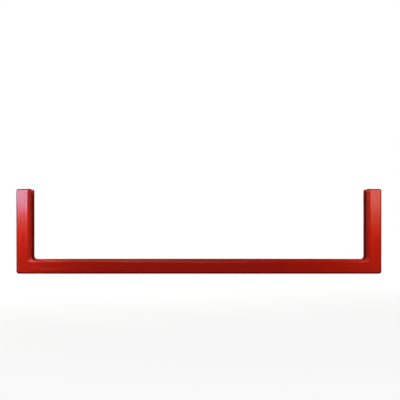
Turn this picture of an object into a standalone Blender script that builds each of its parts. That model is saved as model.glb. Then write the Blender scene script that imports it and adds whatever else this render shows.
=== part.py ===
# Basketball backboard pad
# One moulded foam channel, bent in a U, covers the bottom edge and the lower corners of a glass board.
# It bolts on through steel strips that lie in the floor of its slot.
# X runs along the board, Y through its thickness with the front at -Y, and Z up.
# The origin is under the middle of the pad, on its flat underside. All sizes are in metres.

import math

import bmesh
import bpy
from mathutils import Matrix, Vector

# The board's edge that the pad slides onto
BOARD_WIDTH = 1.8288
BOARD_THICKNESS = 0.0380
SIDE_PLAY = 0.0010

# Foam, in cross-section
FOAM_OUTSIDE = 0.0508
LAP = 0.0254
WALL = 0.0254
BEVEL_WIDTH = 0.0140
BEVEL_DEPTH = 0.0090
OUTER_ROUND = 0.0100
BEVEL_ROUND = 0.0060
LIP_ROUND = 0.0045
MOUTH_ROUND = 0.0020
FLOOR_ROUND = 0.0010

# Foam, seen from the front
ARM_RISE = 0.3990
OUTER_CORNER = 0.0130
INNER_CORNER = 0.0160
SLOT_CORNER = 0.0020
TOP_ROUND = 0.0090
TOP_EASE = 0.0015

# Steel strips in the slot's floor
STRIP_THICKNESS = 0.0030
STRIP_MARGIN = 0.0030
STRIP_CORNER_GAP = 0.0060
STRIP_TOP_GAP = 0.0250
KEY_RADIUS = 0.0060

# Corner angles and their rivets
ANGLE_LEG = 0.0900
ANGLE_THICKNESS = 0.0030
ANGLE_BEND = 0.0020
RIVET_RADIUS = 0.0025
RIVET_HEAD_RADIUS = 0.0044
RIVET_HEAD_DEPTH = 0.0018
RIVET_TAIL_RADIUS = 0.0042
RIVET_TAIL_HEIGHT = 0.0022
RIVET_FROM_CORNER = 0.0320
RIVET_FROM_END = 0.0160

# Bolts, washers and plugs
BOTTOM_BOLTS = 5
BOTTOM_BOLT_PAST_ANGLE = 0.0244
ARM_BOLT_PAST_ANGLE = 0.0400
ARM_BOLT_FROM_TOP = 0.0690
BOLT_RADIUS = 0.003175
BOLT_REACH = 0.0120
BOLT_TIP = 0.0008
HEX_ACROSS_FLATS = 0.0111
HEX_HEIGHT = 0.0040
HEX_CHAMFER = 0.0006
BOLT_HOLE_PLAY = 0.0004
WASHER_RADIUS = 0.0092
WASHER_THICKNESS = 0.0016
LOCK_RADIUS = 0.0062
LOCK_THICKNESS = 0.0016
LOCK_SPLIT = 0.0016
SOCKET_ROOM = 0.0018
PLUG_LENGTH = 0.0100
PLUG_WALL = 0.0015
PLUG_RIDGE = 0.0005
PLUG_FLANGE = 0.0030
PLUG_FLANGE_THICKNESS = 0.0020
PLUG_EDGE = 0.0005
PLUG_SETBACK = 0.0005

# Clearance between pieces that touch, and how far a cutter runs past a face
GAP = 0.0003
OVERRUN = 0.0100

# Facets of round shapes
ARC_STEPS = 4
SMALL_ARC_STEPS = 2
CORNER_STEPS = 6
HOLE_STEPS = 20
TURNED_STEPS = 16
HEX_STEPS = 12
RIVET_STEPS = 10
SHADE_ANGLE = math.radians(35)

# Sizes that follow from the ones above
HALF_BOARD = BOARD_WIDTH / 2
SLOT_HALF = BOARD_THICKNESS / 2 + SIDE_PLAY
DEPTH_HALF = SLOT_HALF + WALL
EDGE_Z = FOAM_OUTSIDE
TOP_Z = EDGE_Z + ARM_RISE
STRIP_HALF = SLOT_HALF - STRIP_MARGIN
ANGLE_FACE = STRIP_THICKNESS + GAP
ANGLE_BACK = ANGLE_FACE + ANGLE_THICKNESS
TAIL_SEAT = ANGLE_BACK + GAP
WASHER_SEAT = STRIP_THICKNESS + GAP
LOCK_SEAT = WASHER_SEAT + WASHER_THICKNESS + GAP
HEAD_SEAT = LOCK_SEAT + LOCK_THICKNESS + GAP
BOLT_HOLE_RADIUS = BOLT_RADIUS + BOLT_HOLE_PLAY
ACCESS_RADIUS = WASHER_RADIUS + SOCKET_ROOM
PLUG_RADIUS = ACCESS_RADIUS - GAP
PLUG_FLANGE_RADIUS = PLUG_RADIUS + PLUG_FLANGE
PLUG_FACE = FOAM_OUTSIDE - PLUG_SETBACK
PLUG_SEAT = PLUG_FACE - PLUG_FLANGE_THICKNESS
RIVET_PLACES = (RIVET_FROM_CORNER, ANGLE_LEG - RIVET_FROM_END)
BOTTOM_END_BOLT = HALF_BOARD - ANGLE_LEG - BOTTOM_BOLT_PAST_ANGLE
BOTTOM_PITCH = 2 * BOTTOM_END_BOLT / (BOTTOM_BOLTS - 1)
ARM_BOLTS = [ANGLE_LEG + ARM_BOLT_PAST_ANGLE, ARM_RISE - ARM_BOLT_FROM_TOP]
ARM_STRIP = (STRIP_CORNER_GAP, ARM_RISE - STRIP_TOP_GAP)

# Each member of the U has its own frame on the slot's floor, with Z out through the foam and X along the
# member. Places along the bottom are counted from its middle, and along an arm from the board's bottom
# edge up. Along is the sign that turns a place into the frame's X.
MEMBERS = {
    "bottom": {
        "origin": (0, 0, EDGE_Z),
        "turn": math.pi,
        "along": -1,
        "strip": (STRIP_CORNER_GAP - HALF_BOARD, HALF_BOARD - STRIP_CORNER_GAP),
        "bolts": [i * BOTTOM_PITCH - BOTTOM_END_BOLT for i in range(BOTTOM_BOLTS)],
    },
    "left": {
        "origin": (-HALF_BOARD, 0, EDGE_Z),
        "turn": -math.pi / 2,
        "along": 1,
        "strip": ARM_STRIP,
        "bolts": ARM_BOLTS,
    },
    "right": {
        "origin": (HALF_BOARD, 0, EDGE_Z),
        "turn": math.pi / 2,
        "along": -1,
        "strip": ARM_STRIP,
        "bolts": ARM_BOLTS,
    },
}
SIDES = {"left": -1, "right": 1}


def clear_scene():
    for thing in list(bpy.data.objects):
        bpy.data.objects.remove(thing)


# Where a piece sits whose own Z points out of the slot's floor at a place along a member
def member_matrix(member, place=0):
    facts = MEMBERS[member]
    turn = Matrix.Rotation(facts["turn"], 4, "Y")
    return Matrix.Translation(facts["origin"]) @ turn @ Matrix.Translation((facts["along"] * place, 0, 0))


# Halfway between each bolt and the next
def key_places(member):
    bolts = MEMBERS[member]["bolts"]
    return [(near + far) / 2 for near, far in zip(bolts, bolts[1:])]


# The frames of one corner's rivets, two on the bottom member and two on the arm
def rivet_matrices(side_name):
    side = SIDES[side_name]
    bottom = [member_matrix("bottom", side * (HALF_BOARD - place)) for place in RIVET_PLACES]
    return bottom + [member_matrix(side_name, place) for place in RIVET_PLACES]


def make_material(name, color, roughness, metallic):
    material = bpy.data.materials.new(name)
    material.use_nodes = True
    shader = material.node_tree.nodes["Principled BSDF"]
    shader.inputs["Base Color"].default_value = (*color, 1)
    shader.inputs["Roughness"].default_value = roughness
    shader.inputs["Metallic"].default_value = metallic
    material.diffuse_color = (*color, 1)
    return material


# Mesh from rings with the same number of points each. Its ends are capped, or joined into a ring.
def loft(name, rings, joined=False):
    shape = bmesh.new()
    grid = [[shape.verts.new(point) for point in ring] for ring in rings]
    pairs = list(zip(grid, grid[1:]))
    if joined:
        pairs.append((grid[-1], grid[0]))
    else:
        shape.faces.new(grid[0])
        shape.faces.new(reversed(grid[-1]))
    for near, far in pairs:
        for i in range(len(near)):
            j = (i + 1) % len(near)
            shape.faces.new((near[j], near[i], far[i], far[j]))
    bmesh.ops.recalc_face_normals(shape, faces=shape.faces)
    mesh = bpy.data.meshes.new(name)
    shape.to_mesh(mesh)
    shape.free()
    mesh.shade_smooth()
    mesh.set_sharp_from_angle(angle=SHADE_ANGLE)
    return mesh


# Circle of points about Z. The flats of a hole lie on its radius, and so do the corners of a solid.
def circle(radius, height, steps, hole=False):
    reach = radius / math.cos(math.pi / steps) if hole else radius
    turns = [2 * math.pi * i / steps for i in range(steps)]
    return [Vector((reach * math.cos(a), reach * math.sin(a), height)) for a in turns]


# Hexagon of points about Z, with a point at the middle of each side as well
def hexagon(across_flats, height):
    flat = across_flats / 2
    corner = flat / math.cos(math.pi / 6)
    points = []
    for i in range(HEX_STEPS):
        reach = flat if i % 2 else corner
        turn = 2 * math.pi * i / HEX_STEPS
        points.append(Vector((reach * math.cos(turn), reach * math.sin(turn), height)))
    return points


# Solid turned about Z from a list of (radius, height)
def turned(name, profile, steps, hole=False, joined=False):
    return loft(name, [circle(radius, height, steps, hole) for radius, height in profile], joined)


def block(name, low, high):
    corners = [(low[0], low[1]), (high[0], low[1]), (high[0], high[1]), (low[0], high[1])]
    return loft(name, [[Vector((x, y, z)) for x, y in corners] for z in (low[2], high[2])])


# Closed outline with its corners rounded. A corner is (x, y, radius, steps), and stays sharp with 0 steps.
def rounded_outline(corners):
    points = []
    for i, (x, y, radius, steps) in enumerate(corners):
        here = Vector((x, y))
        if steps == 0:
            points.append(here)
            continue
        back = (Vector(corners[i - 1][:2]) - here).normalized()
        ahead = (Vector(corners[(i + 1) % len(corners)][:2]) - here).normalized()
        half = back.angle(ahead) / 2
        centre = here + (back + ahead).normalized() * (radius / math.sin(half))
        first = here + back * (radius / math.tan(half)) - centre
        last = here + ahead * (radius / math.tan(half)) - centre
        sweep = math.pi - 2 * half
        for step in range(steps + 1):
            ahead_part = math.sin(sweep * step / steps)
            back_part = math.sin(sweep * (steps - step) / steps)
            points.append(centre + (first * back_part + last * ahead_part) / math.sin(sweep))
    return points


# Cross-section of the foam, as (distance out from the board's edge, Y). At the arm tops its outside is
# drawn in by the inset, and the slot opens by the smaller ease.
def foam_section(inset=0, ease=0):
    slope = math.atan2(BEVEL_DEPTH, BEVEL_WIDTH)
    face = DEPTH_HALF - inset
    lip = inset - LAP
    bevel_start = BEVEL_WIDTH - LAP + inset * math.tan(slope / 2)
    bevel_end = DEPTH_HALF - BEVEL_DEPTH - inset * math.tan(math.pi / 4 - slope / 2)
    slot = SLOT_HALF + ease
    half = [
        (FOAM_OUTSIDE - inset, face, max(OUTER_ROUND - inset, GAP), ARC_STEPS),
        (bevel_start, face, max(BEVEL_ROUND - inset, GAP), SMALL_ARC_STEPS),
        (lip, bevel_end, max(LIP_ROUND - inset, GAP), SMALL_ARC_STEPS),
        (lip, slot, MOUTH_ROUND, SMALL_ARC_STEPS),
        (ease, slot, FLOOR_ROUND, SMALL_ARC_STEPS),
    ]
    other_half = [(out, -y, radius, steps) for out, y, radius, steps in reversed(half)]
    return rounded_outline(half + other_half)


# Radius of the U's corner, seen from the front, at a distance out from the board's edge
def corner_radius(out):
    if out < 0:
        return SLOT_CORNER - (INNER_CORNER - SLOT_CORNER) * out / LAP
    return SLOT_CORNER + (OUTER_CORNER - SLOT_CORNER) * out / FOAM_OUTSIDE


# The foam's rings from the top of one arm down to the bottom member
def arm_rings(side):
    rings = []
    for step in range(ARC_STEPS, -1, -1):
        angle = math.pi / 2 * step / ARC_STEPS
        drawn_in = 1 - math.cos(angle)
        height = TOP_Z - TOP_ROUND * (1 - math.sin(angle))
        section = foam_section(TOP_ROUND * drawn_in, TOP_EASE * drawn_in)
        rings.append([Vector((side * (HALF_BOARD + out), y, height)) for out, y in section])
    for step in range(CORNER_STEPS + 1):
        angle = math.pi / 2 * step / CORNER_STEPS
        ring = []
        for out, y in foam_section():
            radius = corner_radius(out)
            x = HALF_BOARD + out - radius * (1 - math.cos(angle))
            z = EDGE_Z - out + radius * (1 - math.sin(angle))
            ring.append(Vector((side * x, y, z)))
        rings.append(ring)
    return rings


def foam_body():
    return loft("foam", arm_rings(-1) + arm_rings(1)[::-1])


# A strip in its member's frame, or with a clearance the recess that it lies in
def strip_body(member, clearance=0):
    facts = MEMBERS[member]
    start, end = sorted(facts["along"] * place for place in facts["strip"])
    floor = -OVERRUN if clearance else 0
    low = (start - clearance, -STRIP_HALF - clearance, floor)
    high = (end + clearance, STRIP_HALF + clearance, STRIP_THICKNESS + clearance)
    return block("strip", low, high)


# The angle behind one corner's strips, or with a clearance its pocket
def angle_body(side, clearance=0):
    face = ANGLE_FACE - clearance
    back = ANGLE_BACK + clearance
    leg = ANGLE_LEG + clearance
    outline = rounded_outline(
        [
            (HALF_BOARD - leg, EDGE_Z - face, 0, 0),
            (HALF_BOARD + face, EDGE_Z - face, ANGLE_BEND, ARC_STEPS),
            (HALF_BOARD + face, EDGE_Z + leg, 0, 0),
            (HALF_BOARD + back, EDGE_Z + leg, 0, 0),
            (HALF_BOARD + back, EDGE_Z - back, ANGLE_BEND + ANGLE_THICKNESS, ARC_STEPS),
            (HALF_BOARD - leg, EDGE_Z - back, 0, 0),
        ]
    )
    width = STRIP_HALF + clearance
    return loft("angle", [[Vector((side * x, y, z)) for x, z in outline] for y in (-width, width)])


# A countersunk rivet, flush with the strip, and its tail behind the angle
def rivet_body():
    profile = [
        (RIVET_HEAD_RADIUS, 0),
        (RIVET_RADIUS, RIVET_HEAD_DEPTH),
        (RIVET_RADIUS, TAIL_SEAT),
        (RIVET_TAIL_RADIUS, TAIL_SEAT),
        (RIVET_TAIL_RADIUS, TAIL_SEAT + RIVET_TAIL_HEIGHT / 2),
        (RIVET_TAIL_RADIUS / 2, TAIL_SEAT + RIVET_TAIL_HEIGHT),
    ]
    return turned("rivet", profile, RIVET_STEPS)


def rivet_hole():
    profile = [
        (RIVET_HEAD_RADIUS + GAP, -OVERRUN),
        (RIVET_HEAD_RADIUS + GAP, 0),
        (RIVET_RADIUS + GAP, RIVET_HEAD_DEPTH),
        (RIVET_RADIUS + GAP, TAIL_SEAT - GAP / 2),
        (RIVET_TAIL_RADIUS + GAP, TAIL_SEAT - GAP / 2),
        (RIVET_TAIL_RADIUS + GAP, TAIL_SEAT + RIVET_TAIL_HEIGHT + GAP),
    ]
    return turned("rivet_hole", profile, RIVET_STEPS, hole=True)


def bolt_body():
    rings = [
        hexagon(HEX_ACROSS_FLATS - 2 * HEX_CHAMFER, HEAD_SEAT + HEX_HEIGHT),
        hexagon(HEX_ACROSS_FLATS, HEAD_SEAT + HEX_HEIGHT - HEX_CHAMFER),
        hexagon(HEX_ACROSS_FLATS, HEAD_SEAT),
        circle(BOLT_RADIUS, HEAD_SEAT, HEX_STEPS),
        circle(BOLT_RADIUS, BOLT_TIP - BOLT_REACH, HEX_STEPS),
        circle(BOLT_RADIUS - BOLT_TIP, -BOLT_REACH, HEX_STEPS),
    ]
    return loft("bolt", rings)


def bolt_hole():
    profile = [(BOLT_HOLE_RADIUS, -OVERRUN), (BOLT_HOLE_RADIUS, STRIP_THICKNESS + OVERRUN)]
    return turned("bolt_hole", profile, TURNED_STEPS, hole=True)


def flat_washer_body():
    top = WASHER_SEAT + WASHER_THICKNESS
    profile = [
        (BOLT_HOLE_RADIUS, WASHER_SEAT),
        (WASHER_RADIUS, WASHER_SEAT),
        (WASHER_RADIUS, top),
        (BOLT_HOLE_RADIUS, top),
    ]
    return turned("flat_washer", profile, TURNED_STEPS, joined=True)


# A split ring, open by the split at its mean radius
def lock_washer_body():
    half_split = LOCK_SPLIT / (BOLT_HOLE_RADIUS + LOCK_RADIUS)
    top = LOCK_SEAT + LOCK_THICKNESS
    rings = []
    for i in range(TURNED_STEPS):
        turn = half_split + 2 * (math.pi - half_split) * i / (TURNED_STEPS - 1)
        spoke = Vector((math.cos(turn), math.sin(turn), 0))
        inner = spoke * BOLT_HOLE_RADIUS
        outer = spoke * LOCK_RADIUS
        rings.append(
            [
                inner + Vector((0, 0, LOCK_SEAT)),
                outer + Vector((0, 0, LOCK_SEAT)),
                outer + Vector((0, 0, top)),
                inner + Vector((0, 0, top)),
            ]
        )
    return loft("lock_washer", rings)


# A flanged cup, open towards the bolt, with a ridge that holds it in its hole
def plug_body():
    barrel = PLUG_RADIUS - PLUG_RIDGE
    end = PLUG_FACE - PLUG_LENGTH
    ridge = (PLUG_SEAT + 2 * end) / 3
    profile = [
        (PLUG_FLANGE_RADIUS - PLUG_EDGE, PLUG_FACE),
        (PLUG_FLANGE_RADIUS, PLUG_FACE - PLUG_EDGE),
        (PLUG_FLANGE_RADIUS, PLUG_SEAT),
        (barrel, PLUG_SEAT),
        (barrel, ridge + 2 * PLUG_RIDGE),
        (PLUG_RADIUS, ridge),
        (barrel, end),
        (barrel - PLUG_WALL, end),
        (barrel - PLUG_WALL, PLUG_SEAT),
    ]
    return turned("hole_plug", profile, TURNED_STEPS)


# The hole in the foam from its outer face to the strip, stepped for the plug's flange
def access_hole():
    mouth = PLUG_FLANGE_RADIUS + GAP
    profile = [
        (ACCESS_RADIUS, STRIP_THICKNESS / 2),
        (ACCESS_RADIUS, PLUG_SEAT - GAP),
        (mouth, PLUG_SEAT - GAP),
        (mouth, FOAM_OUTSIDE + OVERRUN),
    ]
    return turned("access_hole", profile, HOLE_STEPS, hole=True)


def key_hole():
    profile = [(KEY_RADIUS, -OVERRUN), (KEY_RADIUS, STRIP_THICKNESS + OVERRUN)]
    return turned("key_hole", profile, TURNED_STEPS, hole=True)


# The foam that fills a key hole, flush with the slot's floor
def key_stud():
    profile = [(KEY_RADIUS - GAP, 0), (KEY_RADIUS - GAP, STRIP_THICKNESS + KEY_RADIUS)]
    return turned("key_stud", profile, TURNED_STEPS)


def add_object(name, mesh, matrix, material=None):
    obj = bpy.data.objects.new(name, mesh)
    bpy.context.scene.collection.objects.link(obj)
    obj.matrix_world = matrix
    if material and not mesh.materials:
        mesh.materials.append(material)
    return obj


# A collection of helpers for one Boolean, each given as (mesh, matrix)
def add_helpers(name, bodies):
    helpers = bpy.data.collections.new(name)
    bpy.context.scene.collection.children.link(helpers)
    for mesh, matrix in bodies:
        helper = bpy.data.objects.new(name, mesh)
        helper.matrix_world = matrix
        helper.hide_render = True
        helper.display_type = "WIRE"
        helpers.objects.link(helper)
    return helpers


def add_boolean(obj, operation, helpers):
    modifier = obj.modifiers.new(helpers.name, "BOOLEAN")
    modifier.operation = operation
    modifier.operand_type = "COLLECTION"
    modifier.collection = helpers
    modifier.solver = "EXACT"


def add_members():
    empties = {}
    for member in MEMBERS:
        empty = bpy.data.objects.new(member + "_member", None)
        bpy.context.scene.collection.objects.link(empty)
        empty.matrix_world = member_matrix(member)
        empties[member] = empty
    return empties


def add_foam(material):
    foam = add_object("pad_moulding", foam_body(), Matrix.Identity(4), material)
    cuts = []
    studs = []
    hole = access_hole()
    stud = key_stud()
    pocket = rivet_hole()
    for member, facts in MEMBERS.items():
        cuts.append((strip_body(member, GAP), member_matrix(member)))
        cuts += [(hole, member_matrix(member, place)) for place in facts["bolts"]]
        studs += [(stud, member_matrix(member, place)) for place in key_places(member)]
    for side_name, side in SIDES.items():
        cuts.append((angle_body(side, GAP), Matrix.Identity(4)))
        cuts += [(pocket, matrix) for matrix in rivet_matrices(side_name)]
    add_boolean(foam, "DIFFERENCE", add_helpers("foam_cuts", cuts))
    add_boolean(foam, "UNION", add_helpers("foam_studs", studs))


def add_strips(empties, material):
    bolt = bolt_hole()
    key = key_hole()
    rivet = rivet_hole()
    rivets = {side_name: rivet_matrices(side_name) for side_name in SIDES}
    for member, facts in MEMBERS.items():
        strip = add_object(member + "_backing_strip", strip_body(member), Matrix.Identity(4), material)
        strip.parent = empties[member]
        cuts = [(bolt, member_matrix(member, place)) for place in facts["bolts"]]
        cuts += [(key, member_matrix(member, place)) for place in key_places(member)]
        for side_name, matrices in rivets.items():
            bottom, arm = matrices[: len(RIVET_PLACES)], matrices[len(RIVET_PLACES) :]
            if member == "bottom":
                cuts += [(rivet, matrix) for matrix in bottom]
            if member == side_name:
                cuts += [(rivet, matrix) for matrix in arm]
        add_boolean(strip, "DIFFERENCE", add_helpers(member + "_strip_holes", cuts))


def add_corners(material):
    rivet = rivet_body()
    hole = rivet_hole()
    for side_name, side in SIDES.items():
        matrices = rivet_matrices(side_name)
        angle = add_object(side_name + "_corner_angle", angle_body(side), Matrix.Identity(4), material)
        cuts = [(hole, matrix) for matrix in matrices]
        add_boolean(angle, "DIFFERENCE", add_helpers(side_name + "_angle_holes", cuts))
        for number, matrix in enumerate(matrices, 1):
            add_object(f"{side_name}_corner_rivet_{number}", rivet, matrix, material)


def add_fasteners(empties, steel, plastic):
    kinds = {
        "bolt": (bolt_body(), steel),
        "flat_washer": (flat_washer_body(), steel),
        "lock_washer": (lock_washer_body(), steel),
        "hole_plug": (plug_body(), plastic),
    }
    for member, facts in MEMBERS.items():
        for number, place in enumerate(facts["bolts"], 1):
            for kind, (mesh, material) in kinds.items():
                piece = add_object(f"{member}_{kind}_{number}", mesh, Matrix.Identity(4), material)
                piece.parent = empties[member]
                piece.location.x = facts["along"] * place


def main():
    clear_scene()
    foam = make_material("red_foam_skin", (0.55, 0.02, 0.01), 0.3, 0)
    steel = make_material("zinc_plated_steel", (0.62, 0.62, 0.6), 0.35, 1)
    plastic = make_material("black_plastic", (0.02, 0.02, 0.02), 0.5, 0)
    empties = add_members()
    add_foam(foam)
    add_strips(empties, steel)
    add_corners(steel)
    add_fasteners(empties, steel, plastic)


main()
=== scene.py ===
import math

import bmesh
import bpy
from mathutils import Matrix, Vector


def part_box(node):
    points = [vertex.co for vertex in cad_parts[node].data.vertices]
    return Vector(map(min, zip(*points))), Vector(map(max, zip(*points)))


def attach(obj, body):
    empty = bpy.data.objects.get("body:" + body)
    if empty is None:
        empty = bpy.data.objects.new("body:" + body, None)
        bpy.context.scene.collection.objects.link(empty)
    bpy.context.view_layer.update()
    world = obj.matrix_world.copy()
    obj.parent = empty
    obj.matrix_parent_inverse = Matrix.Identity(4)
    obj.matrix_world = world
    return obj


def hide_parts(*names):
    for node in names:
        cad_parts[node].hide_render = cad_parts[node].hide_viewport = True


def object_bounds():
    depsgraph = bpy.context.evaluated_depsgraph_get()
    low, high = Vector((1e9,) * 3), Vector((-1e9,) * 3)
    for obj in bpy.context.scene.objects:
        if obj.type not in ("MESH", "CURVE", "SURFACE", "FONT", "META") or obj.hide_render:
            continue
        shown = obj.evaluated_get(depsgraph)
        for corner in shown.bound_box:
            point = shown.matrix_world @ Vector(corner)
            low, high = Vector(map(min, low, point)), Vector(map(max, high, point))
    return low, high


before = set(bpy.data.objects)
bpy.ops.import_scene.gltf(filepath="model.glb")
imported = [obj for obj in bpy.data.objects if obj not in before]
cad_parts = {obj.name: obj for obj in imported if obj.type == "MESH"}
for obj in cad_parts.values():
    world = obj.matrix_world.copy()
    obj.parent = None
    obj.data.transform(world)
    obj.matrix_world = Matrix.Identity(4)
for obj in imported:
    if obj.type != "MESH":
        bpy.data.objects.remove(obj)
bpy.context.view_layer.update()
scene = bpy.context.scene
print("frame loaded:", len(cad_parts), "nodes")

# The edge of the board that the pad fits, and where the pad's own slot lies. Metres, with the front at -Y.
board = {
    "half": 0.9144,
    "edge": 0.0508,
    "top": 0.4498,
    "slotHalf": 0.0200,
    "depthHalf": 0.0454,
}
clear = 0.0003  # between pieces that touch


# Helpers for node trees


def liveSocket(sockets, key):
    if isinstance(key, int):
        return sockets[key]
    return next(socket for socket in sockets if socket.name == key and socket.enabled)


def feed(socket, value):
    if isinstance(value, bpy.types.Node):
        value = next(output for output in value.outputs if output.enabled)
    if isinstance(value, bpy.types.NodeSocket):
        socket.id_data.links.new(value, socket)
    else:
        socket.default_value = value


def addNode(tree, kind, inputs=None, **settings):
    node = tree.nodes.new(kind)
    for name, value in settings.items():
        setattr(node, name, value)
    for key, value in (inputs or {}).items():
        feed(liveSocket(node.inputs, key), value)
    return node


# These find the tree through the socket or node that they are given


def calc(operation, *values):
    tree = next(value.id_data for value in values if hasattr(value, "id_data"))
    return addNode(tree, "ShaderNodeMath", dict(enumerate(values)), operation=operation).outputs[0]


def blend(factor, low, high, kind="FLOAT"):
    inputs = {"Factor": factor, "A": low, "B": high}
    return liveSocket(addNode(factor.id_data, "ShaderNodeMix", inputs, data_type=kind).outputs, "Result")


def rangeValue(value, fromMin, fromMax, toMin, toMax, smooth=False):
    inputs = {"Value": value, "From Min": fromMin, "From Max": fromMax, "To Min": toMin, "To Max": toMax}
    kind = "SMOOTHSTEP" if smooth else "LINEAR"
    return addNode(value.id_data, "ShaderNodeMapRange", inputs, interpolation_type=kind).outputs[0]


def stretch(vector, factors):
    return addNode(vector.id_data, "ShaderNodeVectorMath", {0: vector, 1: factors}, operation="MULTIPLY")


# A texture whose features have the given size
def sizedTexture(kind, place, size, **inputs):
    scale = calc("DIVIDE", 1, size)
    return addNode(place.id_data, "ShaderNodeTex" + kind, {"Vector": place, "Scale": scale, **inputs})


# A tree and its sockets. Each named input is a socket type or, for a number, its first value.
def newTree(name, kind, inputs, outputs):
    tree = bpy.data.node_groups.new(name, kind + "NodeTree")
    for label, value in inputs.items():
        number = {float: "Float", int: "Int"}.get(type(value))
        socketType = "NodeSocket" + (number or value)
        socket = tree.interface.new_socket(label, in_out="INPUT", socket_type=socketType)
        if number:
            socket.default_value = value
    for label, socketType in outputs.items():
        tree.interface.new_socket(label, in_out="OUTPUT", socket_type="NodeSocket" + socketType)
    return tree, addNode(tree, "NodeGroupInput").outputs, addNode(tree, "NodeGroupOutput").inputs


def attribute(tree, name, dataType="FLOAT"):
    return addNode(tree, "GeometryNodeInputNamedAttribute", {"Name": name}, data_type=dataType).outputs[0]


# The end of a geometry tree: instances made real, with one material
def endTree(tree, geometry, material, result):
    solid = addNode(tree, "GeometryNodeRealizeInstances", {"Geometry": geometry})
    skinned = addNode(tree, "GeometryNodeSetMaterial", {"Geometry": solid, "Material": material})
    feed(result[0], skinned)


# Runs a tree on the object's mesh and keeps the result as a plain mesh
def bakeTree(piece, tree, values):
    modifier = piece.modifiers.new(tree.name, "NODES")
    modifier.node_group = tree
    for item in tree.interface.items_tree:
        if item.item_type == "SOCKET" and item.in_out == "INPUT" and item.name in values:
            modifier[item.identifier] = values[item.name]
    keepModifiers(piece)


def keepModifiers(piece):
    bpy.context.view_layer.update()
    shown = piece.evaluated_get(bpy.context.evaluated_depsgraph_get())
    mesh = bpy.data.meshes.new_from_object(shown)
    piece.modifiers.clear()
    piece.data = mesh
    mesh.name = piece.name


# Leaves one slot, so that cut faces show the same finish as the rest
def setFinish(mesh, material):
    mesh.materials.clear()
    mesh.materials.append(material)
    mesh.polygons.foreach_set("material_index", [0] * len(mesh.polygons))


# Helpers for meshes


def addObject(name, mesh):
    piece = bpy.data.objects.new(name, mesh)
    scene.collection.objects.link(piece)
    return piece


def dropObjects(*things):
    for thing in things:
        bpy.data.objects.remove(thing)


# Points that carry named numbers or vectors, for a tree to read
def addPoints(name, places, numbers=None, vectors=None):
    mesh = bpy.data.meshes.new(name)
    mesh.from_pydata(places, [], [])
    for label, values in (numbers or {}).items():
        mesh.attributes.new(label, "FLOAT", "POINT").data.foreach_set("value", values)
    for label, values in (vectors or {}).items():
        flat = [part for value in values for part in value]
        mesh.attributes.new(label, "FLOAT_VECTOR", "POINT").data.foreach_set("vector", flat)
    return addObject(name, mesh)


# Rings of points joined by faces. The two ends are closed, or joined to each other.
def loftRings(rings, joined=False):
    count = len(rings[0])
    points = [point for ring in rings for point in ring]
    starts = [i * count for i in range(len(rings))]
    pairs = list(zip(starts, starts[1:]))
    faces = []
    if joined:
        pairs.append((starts[-1], 0))
    else:
        faces.append(list(range(count)))
        faces.append(list(range(starts[-1], starts[-1] + count))[::-1])
    for near, far in pairs:
        for i in range(count):
            j = (i + 1) % count
            faces.append([near + j, near + i, far + i, far + j])
    return points, faces


def polar(radius, turn, height):
    return radius * math.cos(turn), radius * math.sin(turn), height


def circle(radius, height, steps):
    return [polar(radius, 2 * math.pi * i / steps, height) for i in range(steps)]


# A solid turned about Z from (radius, height) pairs
def turnedSolid(profile, steps, joined=False):
    return loftRings([circle(radius, height, steps) for radius, height in profile], joined)


def blockSolid(low, high):
    corners = [(low[0], low[1]), (high[0], low[1]), (high[0], high[1]), (low[0], high[1])]
    return loftRings([[(x, y, z) for x, y in corners] for z in (low[2], high[2])])


# One mesh from solids, set at each of the sites
def addSolids(name, solids, sites=(Matrix.Identity(4),)):
    shape = bmesh.new()
    for site in sites:
        for points, faces in solids:
            verts = [shape.verts.new(site @ Vector(point)) for point in points]
            for face in faces:
                shape.faces.new([verts[i] for i in face])
    bmesh.ops.recalc_face_normals(shape, faces=shape.faces)
    mesh = bpy.data.meshes.new(name)
    shape.to_mesh(mesh)
    shape.free()
    return addObject(name, mesh)


# Cuts or joins closed meshes that lie clear of each other
def addBoolean(piece, operation, helper):
    modifier = piece.modifiers.new(helper.name, "BOOLEAN")
    modifier.operation = operation
    modifier.solver = "MANIFOLD"
    modifier.object = helper


def smoothShade(mesh, degrees=32):
    mesh.shade_smooth()
    mesh.set_sharp_from_angle(angle=math.radians(degrees))


# Closed outline with its corners rounded. A corner is (x, y, radius, arc steps, steps of the flat after it).
# Each point comes with its corner's number, and its share of the way along the arc or along the flat.
def roundedOutline(corners):
    arcs = []
    for i, (x, y, radius, arcSteps, _) in enumerate(corners):
        here = Vector((x, y))
        back = (Vector(corners[i - 1][:2]) - here).normalized()
        ahead = (Vector(corners[(i + 1) % len(corners)][:2]) - here).normalized()
        half = back.angle(ahead) / 2
        centre = here + (back + ahead).normalized() * (radius / math.sin(half))
        first = here + back * (radius / math.tan(half)) - centre
        last = here + ahead * (radius / math.tan(half)) - centre
        sweep = math.pi - 2 * half
        arc = []
        for step in range(arcSteps + 1):
            firstPart = math.sin(sweep * (arcSteps - step) / arcSteps)
            lastPart = math.sin(sweep * step / arcSteps)
            arc.append(centre + (first * firstPart + last * lastPart) / math.sin(sweep))
        arcs.append(arc)
    points = []
    for i, arc in enumerate(arcs):
        points += [(point, i, step / (len(arc) - 1), 0) for step, point in enumerate(arc)]
        end = arcs[(i + 1) % len(arcs)][0]
        steps = corners[i][4]
        points += [(arc[-1].lerp(end, step / steps), i, 0, step / steps) for step in range(1, steps)]
    return points


# Where the CAD's fasteners sit. A fastener's own Z points out through the foam from the slot's floor.
members = {"bottom": {"origin": Vector((0, 0, board["edge"])), "turn": math.pi, "along": 0, "bolts": 5}}
sides = {"left": -1, "right": 1}
for sideName, side in sides.items():
    members[sideName] = {
        "origin": Vector((side * board["half"], 0, board["edge"])),
        "turn": side * math.pi / 2,
        "along": 2,
        "bolts": 2,
    }


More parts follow.
